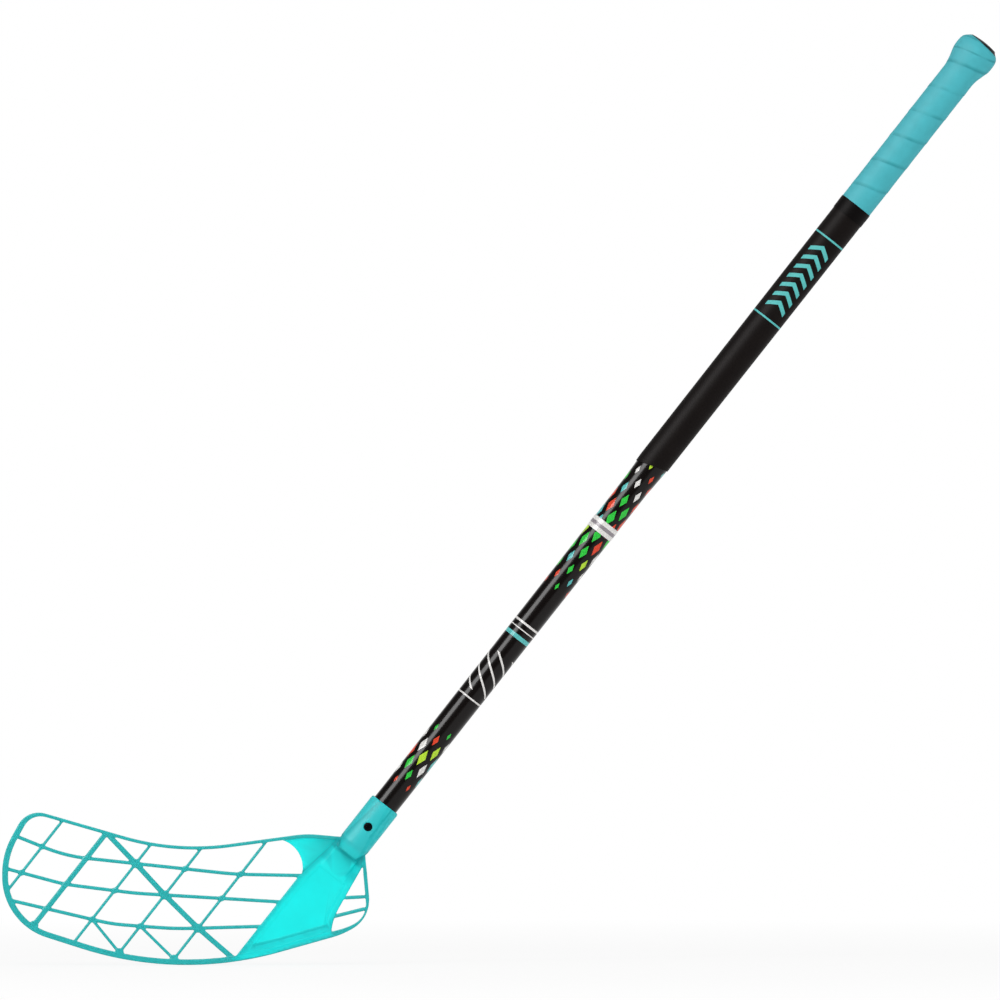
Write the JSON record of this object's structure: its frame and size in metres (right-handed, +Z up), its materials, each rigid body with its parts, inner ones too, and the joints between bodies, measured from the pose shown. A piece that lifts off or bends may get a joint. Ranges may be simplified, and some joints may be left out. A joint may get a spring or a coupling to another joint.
{
  "type": "floorball stick",
  "caption": "Floorball stick with a hooked lattice blade screwed to a round shaft, a sleeved upper section, a wound grip and a flared butt knob, held in its playing pose.",
  "frame": {"origin": "on the shaft's axis at the middle of the grip's straight length, where a hand holds the stick", "axes": "+Z up, +X from the blade's toe towards the butt, +Y away from the side that carries the blade screw"},
  "size_m": [0.7303, 0.0326, 0.684],
  "materials": {
    "teal_blade": "satin, slightly translucent moulding",
    "black_lacquer": "gloss lacquer with plain colour bands",
    "grey_plug": "matt",
    "black_sleeve": "matt with plain teal bars",
    "white_band": "satin with a grey centre stripe",
    "black_tape": "satin",
    "teal_grip": "soft matt polyurethane",
    "black_cap": "matt",
    "black_screw": "black oxide"
  },
  "bodies": {
    "stick": {"shaft_tube": "black_lacquer", "blade": "teal_blade", "shaft_end_plug": "grey_plug", "shrink_sleeve": "black_sleeve", "label_band": "white_band", "finish_tape": "black_tape", "grip_tape": "teal_grip", "butt_cap": "black_cap"},
    "screw": {"blade_screw": "black_screw"}
  },
  "joints": [
    {"name": "screw_out", "type": "slide", "parent": "stick", "child": "screw", "axis": [0, -1, 0], "range_m": [0, 0.012]}
  ]
}
